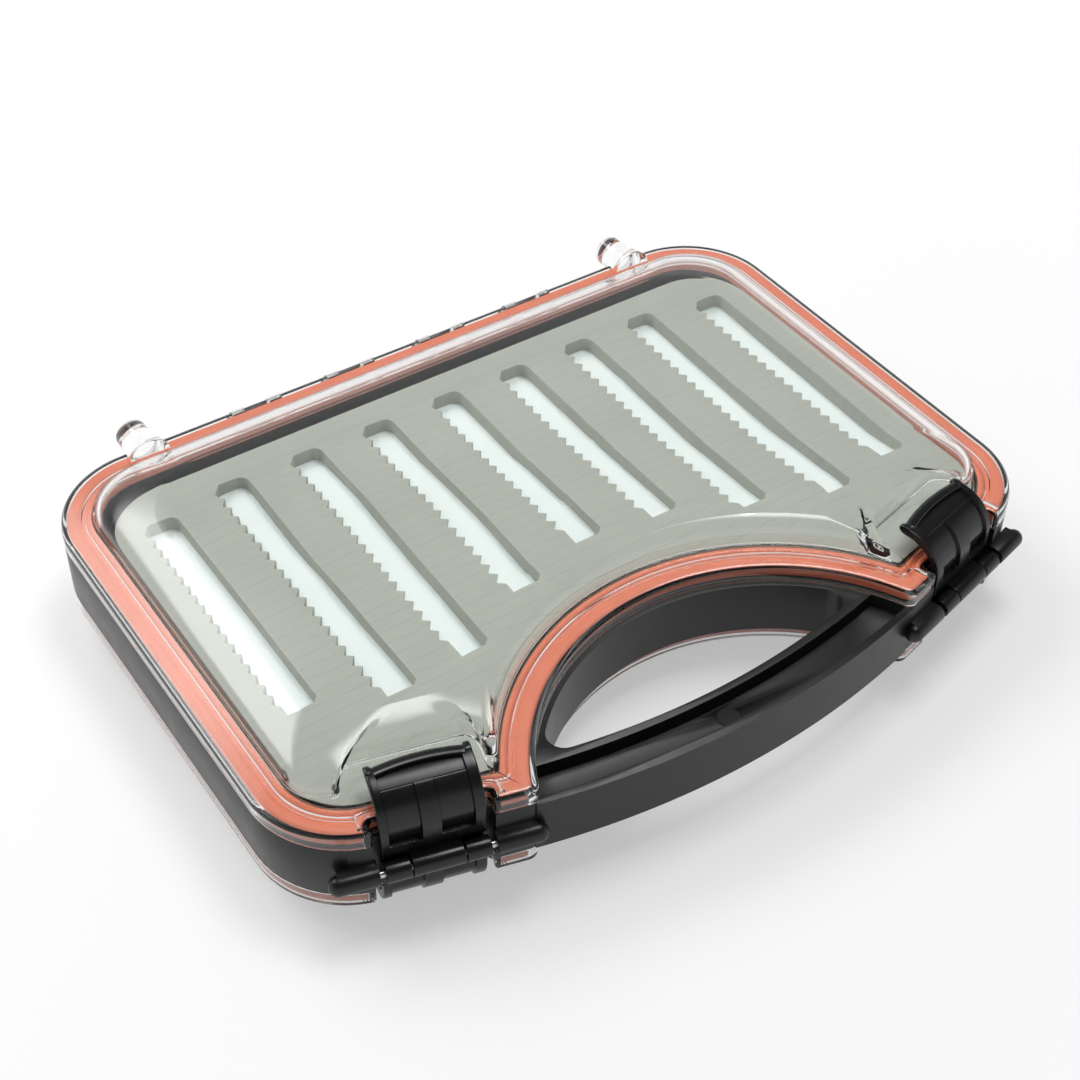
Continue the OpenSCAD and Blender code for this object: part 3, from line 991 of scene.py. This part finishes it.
# the sunk panels along the plate, the width of their side walls, their depth and what is added to
# it lower down, the depth of the groove under the lip, and the lip's arch with its tips
PANELS = ((-11.8, -2.9), (2.1, 11.1))
PANEL_SIDE = 0.3
PANEL_DEEP = 0.8
PANEL_DEEPER = 0.75
GROOVE_DEEP = 1.15
LIP_ARCH = 53.7
LIP_TIP = (11.9, 12.5)
LATCH_ROUND = 0.4
# the catch, with heights over the ledge, and the web to the barrel, with heights over the barrel
CATCH = ((6.0, 0.15), (8.6, 0.15), (8.8, 0.35), (8.7, 1.4), (7.4, 2.4))
CATCH_HALF = 11
WEB = (
    (0, 0.4), (4.4, 0.8), (PLATE_BACK - 0.1, 1.4), (PLATE_BACK - 0.1, 3.3), (2.45, 3.3),
    (2.45, 2.75), (0, 2.8),
)
# knuckles of a top and of a bottom latch, along the barrel
TOP_SPANS = ((-6.9, 6.9),)
LOW_SPANS = ((-14.0, -7.3), (7.3, 14.0))
# the plate's outside from its lower edge up to the lip: heights on its straight part, then angles
PLATE_HEIGHTS = (3.0, 4.2, 5.4, 6.15, 6.4, 6.5, 6.72, 7.0, 7.8, 8.8, 9.8)
PLATE_ANGLES = (*range(174, 119, -6), 117, 115.5, 114.5, 113, 110, 106, 102, 98, 94, 91)
# the lip's outside and underside, as points behind the barrel and above it, and how much each one
# follows the lip's arch
LIP = (
    (14.75, 21.95, 1), (14.95, 22.2, 1), (15.4, 22.34, 1), (16.2, 22.36, 1),
    (17.0, 22.26, 1), (17.6, 21.98, 1), (18.0, 21.5, 1), (18.05, 21.0, 1),
    (17.7, 20.35, 1), (17.0, 19.85, 0.9), (15.8, 19.5, 0.4),
)


def ramp(x, start, end):
    """0 at the start, 1 at the end."""
    return min(max((x - start) / (end - start), 0.0), 1.0)


def across_latch(u, low, high):
    """1 between two places along the latch, falling to 0 over its side walls."""
    return min(ramp(u, low, low + PANEL_SIDE), ramp(u, high, high - PANEL_SIDE))


def over_panels(u):
    """1 from the outer side of one panel to the outer side of the other."""
    return across_latch(u, PANELS[0][0], PANELS[1][1])


def sunk(u, rise):
    """Depth of the sunk panels and of the groove under the lip, by the way up the outside."""
    panel = max(across_latch(u, *ends) for ends in PANELS)
    deep = PANEL_DEEP + PANEL_DEEPER * (1 - ramp(rise, -3.0, 2.4))
    deep = ramp(rise, -3.4, -3.1) * deep
    groove = over_panels(u) * ramp(rise, 13.6, 13.9)
    return max(panel * deep, groove * GROOVE_DEEP)


def latch_section(u):
    """The plate's closed section at u along the barrel, in points behind it and above it."""
    points = [(PLATE_FRONT + 0.35, PLATE_LOW), (PLATE_FRONT + 0.08, PLATE_LOW + 0.1)]
    middle = SHELL_MIDDLE[1]
    points += [(PLATE_FRONT + sunk(u, z - middle), z) for z in PLATE_HEIGHTS]
    for angle in PLATE_ANGLES:
        radius = SHELL_R - sunk(u, SHELL_R * math.radians(180 - angle))
        points += arc(SHELL_MIDDLE, radius, angle, angle, 1, first=1)
    arch = LIP_ARCH - math.sqrt(LIP_ARCH**2 - u * u)
    tip = ramp(abs(u), *LIP_TIP)
    arch = arch * (1 - tip) + 0.55 * tip
    points.append((14.7 - arch, middle + SHELL_R - GROOVE_DEEP * over_panels(u)))
    points += [(v - arch * share, z) for v, z, share in LIP]
    points += arc(SHELL_MIDDLE, SHELL_IN, 90, 180, 12)
    points += [(PLATE_BACK - v, z) for v, z in ((0, 6), (0, 3.1), (0.15, 2.72), (0.5, PLATE_LOW))]
    return points


def pulled_in(section, distance):
    """A closed section moved inwards, for the rounded sides of the plate."""
    if distance == 0:
        return section
    moved = []
    for i, (v, z) in enumerate(section):
        a, b = section[i - 1], section[(i + 1) % len(section)]
        run, climb = b[0] - a[0], b[1] - a[1]
        length = math.hypot(run, climb) or 1
        moved.append((v + climb / length * distance, z - run / length * distance))
    return moved


def latch_point(u, v, z):
    """Metres in the row frame from millimetres along, behind and above the left barrel."""
    return placed(*by_latch(u, v), z)


def latch_stations():
    """Places along the latch where its plate gets a section, and how far that is pulled in."""
    inner = {float(u) for u in range(-13, 14)}
    for low, high in PANELS:
        for step in (-0.12, 0, PANEL_SIDE, 0.5):
            inner |= {low + step, high - step}
    inner |= {side * u for side in SIDES for u in (LIP_TIP[0], 12.2, LIP_TIP[1])}
    ends = [(LATCH_HALF - LATCH_ROUND * a, LATCH_ROUND * b) for a, b in quarter(4)]
    return [(-u, pull) for u, pull in ends] + [(u, 0) for u in sorted(inner)] + ends[::-1]


def latch_loop(bm, u, section):
    """Loop of points at u along the barrel from a section given behind it and above it."""
    return [bm.verts.new(latch_point(u, v, z)) for v, z in section]


def make_latch(name, spans, ledge):
    """Snap latch: bent plate with sunk panels and arched lip, its catch and its knuckles."""
    bm = bmesh.new()
    sections = [(u, pulled_in(latch_section(u), pull)) for u, pull in latch_stations()]
    add_solid(bm, [latch_loop(bm, u, section) for u, section in sections])
    latch = new_object(name, bm)
    parts = [([(v, ledge + z) for v, z in CATCH], -CATCH_HALF, CATCH_HALF)]
    parts += [(WEB, low + 0.1, high - 0.1) for low, high in spans]
    for section, low, high in parts:
        bm = bmesh.new()
        add_solid(bm, [latch_loop(bm, u, section) for u in (low, high)])
        combine(latch, new_object("part", bm), "UNION")
    for low, high in spans:
        bm = bmesh.new()
        ends = [latch_point(u, 0, 0) for u in (low, high)]
        tube(bm, *ends, BARREL_R * MM, steps=48, dome=0.25 * MM)
        combine(latch, new_object("knuckle", bm), "UNION")
    bm = bmesh.new()
    ends = [latch_point(u, 0, 0) for u in (-16, 16)]
    tube(bm, *ends, PIN_BORE * MM, steps=24)
    return smooth(combine(latch, new_object("bore", bm), "DIFFERENCE"), 30)


class FLYBOX_OT_latches(bpy.types.Operator):
    """Builds the four snap latches."""

    bl_idname = "flybox.latches"
    bl_label = "Latches"

    def execute(self, context):
        ledge = context.scene.fly_box_sizes.ledge / MM
        top = make_latch("snap_latch_top_left", TOP_SPANS, ledge)
        low = make_latch("low", LOW_SPANS, ledge)
        low_left = mirrored(low, "snap_latch_bottom_left", 2)
        bpy.data.objects.remove(low)
        for left, level in ((top, "top"), (low_left, "bottom")):
            right = mirrored(left, f"snap_latch_{level}_right", 0)
            for piece in (left, right):
                node = piece.name.removeprefix("snap_")
                dress(piece, "latch", node, node)
        return {"FINISHED"}


class FLYBOX_OT_pins(bpy.types.Operator):
    """Gives the hinge and latch pins their finish."""

    bl_idname = "flybox.pins"
    bl_label = "Pins"

    def execute(self, context):
        for node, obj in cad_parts.items():
            if "_pin_" in node:
                obj.data.materials.clear()
                obj.data.materials.append(finish_of("pin"))
        return {"FINISHED"}


# ---- foams ----

SLOT_PITCH = 25.0
SLOT_WIDTH = 9.4
SLOT_RIGHT = 5.6
# the far ends of a slot and of the two outer slots, the near ends, and where the teeth begin
SLOT_FAR = 141.0
SLOT_FAR_OUTER = 136.6
SLOT_NEAR = (50, 40.5, 42.1, 54.2, 60.7, 57.6, 46.4, 38, 43)
SLOT_R = 3
TOOTH_PITCH = 4.5
TOOTH_FIRST = 6.5
TOOTH_LAST = 2.5
SLIT_PHASE = (SLOT_FAR - TOOTH_FIRST - PLAN_SHIFT) * MM
FOAM_ROUND = 0.35


def slot_outline(k, depth, grow):
    """One slot: teeth along the left edge, a rounded far right corner, all grown outwards."""
    right = SLOT_RIGHT + SLOT_PITCH * (k - 4)
    left = right - SLOT_WIDTH
    near = SLOT_NEAR[k]
    far = SLOT_FAR_OUTER if k in (0, 8) else SLOT_FAR
    first = far - TOOTH_FIRST
    count = int((first - TOOTH_LAST - near) // TOOTH_PITCH)
    points = [(right + grow, near + 1.5)]
    points += arc((right - SLOT_R, far - SLOT_R), SLOT_R + grow, 0, 90, 6)
    points += [(left + 1, far + grow)]
    points += [(left - wide - grow, far - back) for wide, back in ((1.6, 3.2), (1.2, 5.4))]
    for i in range(count):
        points.append((left - grow, first - TOOTH_PITCH * i))
        points.append((left - depth - grow, first - TOOTH_PITCH * (i + 0.6)))
    points += [(left - grow, first - TOOTH_PITCH * count), (left - grow, near - grow)]
    return points + [(right - 1.5, near - grow)]


def slit_foam(name, sizes):
    """Slit sheet: its outline and slots filled as one face and given rolled top edges."""
    depth = sizes.tooth_depth / MM
    soft, bend = FOAM_ROUND, FOAM_ROUND * 0.3
    bm = bmesh.new()
    edges_top, edges_low = [], []
    shapes = [foam_outline]
    shapes += [lambda grow, k=k: slot_outline(k, depth, grow) for k in range(sizes.slots)]
    levels = ((0, PAD_TOP), (0, SLIT_TOP - soft), (bend, SLIT_TOP - bend), (soft, SLIT_TOP))
    for shape in shapes:
        rims = add_rings(bm, [(shape(inset), z) for inset, z in levels])
        for rim, found in ((rims[-1], edges_top), (rims[0], edges_low)):
            found += [bm.edges.get((a, b)) for a, b in zip(rim, rim[1:] + rim[:1])]
    for edges in (edges_top, edges_low):
        bmesh.ops.triangle_fill(bm, use_beauty=True, use_dissolve=False, edges=edges)
    return smooth(new_object(name, bm), 40)


def foam_pad(name):
    """White pad under the slit sheet."""
    levels = ((0.4, WEB_HALF), (0.4, PAD_TOP - 0.4), (0.5, PAD_TOP - 0.1), (0.8, PAD_TOP))
    bm = bmesh.new()
    loops = add_rings(bm, [(foam_outline(inset), z) for inset, z in levels])
    bm.faces.new(loops[0])
    bm.faces.new(loops[-1])
    return smooth(new_object(name, bm), 40)


class FLYBOX_OT_foams(bpy.types.Operator):
    """Builds the slit foams and the white pads under them."""

    bl_idname = "flybox.foams"
    bl_label = "Foams"

    def execute(self, context):
        sizes = context.scene.fly_box_sizes
        top = (slit_foam("slit_sheet_top", sizes), foam_pad("white_pad_top"))
        low = (mirrored(top[0], "slit_sheet_bottom", 2), mirrored(top[1], "white_pad_bottom", 2))
        for level, (sheet, pad) in (("top", top), ("bottom", low)):
            dress(sheet, "slit_foam", "frame", f"{level}_slit_foam")
            dress(pad, "foam_pad", "frame", f"{level}_foam_pad")
        return {"FINISHED"}


# ---- stage ----

# the camera's place in metres, its directions and its focal length in picture widths, all worked
# out from the case's outline in the photograph
CAMERA_AT = (-0.2378, -0.3435, 0.4143)
CAMERA_RIGHT = (0.83051181, -0.55693228, 0.00875059)
CAMERA_AHEAD = (0.41039594, 0.60122008, -0.68564538)
FOCAL_SHARE = 1912.19 / 1080
SENSOR_WIDTH = 36
# the world's light on things, as a share of how bright it looks
WORLD_LEVEL = 0.32
FLOOR_HALF = 6
FLOOR_GAP = 0.2 * MM
# name, place in metres, size in metres and watts
LAMPS = (
    ("overhead", (0.24, 0.02, 1.0), (0.62, 0.5), 9.0),
    ("back_left", (-0.3, 0.58, 0.72), (1.0, 0.52), 11.5),
)


def add_camera(scene):
    """Camera that stands where the photograph was taken from."""
    camera = bpy.data.cameras.new("camera")
    camera.sensor_width = SENSOR_WIDTH
    camera.lens = SENSOR_WIDTH * FOCAL_SHARE
    camera.clip_start = 0.01
    obj = bpy.data.objects.new("camera", camera)
    right = Vector(CAMERA_RIGHT).normalized()
    back = -Vector(CAMERA_AHEAD).normalized()
    up = back.cross(right).normalized()
    turn = Matrix((right, up, back)).transposed().to_4x4()
    obj.matrix_world = Matrix.Translation(CAMERA_AT) @ turn
    scene.collection.objects.link(obj)
    scene.camera = obj


def add_lamp(scene, name, at, size, watts):
    """Soft box over the case, aimed at it, that fades out towards its edges."""
    lamp = bpy.data.lights.new(name, "AREA")
    lamp.shape = "RECTANGLE"
    lamp.size, lamp.size_y = size
    lamp.energy = watts
    f = Finish(lamp)
    place = f.value("ShaderNodeNewGeometry", output="Parametric")
    spot = f.node("ShaderNodeSeparateXYZ", None, {0: place})
    soft = []
    for k in (0, 1):
        span = {"Value": Socket(f, spot.outputs[k]).wrapped(1), "From Max": 0.3}
        soft.append(f.value("ShaderNodeMapRange", {"interpolation_type": "SMOOTHSTEP"}, span))
    glow = f.value("ShaderNodeEmission", None, {"Strength": soft[0] * soft[1]})
    f.done(glow, "ShaderNodeOutputLight")
    obj = bpy.data.objects.new(name, lamp)
    obj.location = at
    obj.visible_transmission = False
    obj.rotation_euler = (-Vector(at)).to_track_quat("-Z", "Y").to_euler()
    scene.collection.objects.link(obj)


class FLYBOX_OT_stage(bpy.types.Operator):
    """Sets the floor, the lamps, the world and the camera."""

    bl_idname = "flybox.stage"
    bl_label = "Stage"

    def execute(self, context):
        scene = context.scene
        bm = bmesh.new()
        bmesh.ops.create_grid(bm, x_segments=24, y_segments=24, size=FLOOR_HALF)
        floor = new_object("floor", bm)
        floor.location.z = -FLOOR_GAP
        floor.data.materials.append(finish_of("floor"))
        add_camera(scene)
        scene.world = studio_world()
        for lamp in LAMPS:
            add_lamp(scene, *lamp)
        scene.view_settings.view_transform = "Standard"
        return {"FINISHED"}


class FLYBOX_PT_panel(bpy.types.Panel):
    """Lists the operators in the sidebar."""

    bl_idname = "FLYBOX_PT_panel"
    bl_label = "Fly box"
    bl_space_type = "VIEW_3D"
    bl_region_type = "UI"
    bl_category = "Fly box"

    def draw(self, context):
        for step in STEPS:
            self.layout.operator(step.bl_idname)
        for group in (context.scene.fly_box_sizes, context.scene.fly_box_colours):
            for key in group.__annotations__:
                self.layout.prop(group, key)


STEPS = (
    FLYBOX_OT_stage,
    FLYBOX_OT_frame,
    FLYBOX_OT_pins,
    FLYBOX_OT_foams,
    FLYBOX_OT_gaskets,
    FLYBOX_OT_latches,
    FLYBOX_OT_lids,
)
CLASSES = (FlyBoxSizes, FlyBoxColours, *STEPS, FLYBOX_PT_panel)


def register():
    for cls in CLASSES:
        bpy.utils.register_class(cls)
    bpy.types.Scene.fly_box_sizes = PointerProperty(type=FlyBoxSizes)
    bpy.types.Scene.fly_box_colours = PointerProperty(type=FlyBoxColours)


def unregister():
    del bpy.types.Scene.fly_box_colours
    del bpy.types.Scene.fly_box_sizes
    for cls in reversed(CLASSES):
        bpy.utils.unregister_class(cls)


def main():
    register()
    for step in STEPS:
        group, name = step.bl_idname.split(".")
        getattr(getattr(bpy.ops, group), name)()
    bpy.context.view_layer.update()


if __name__ == "__main__":
    main()
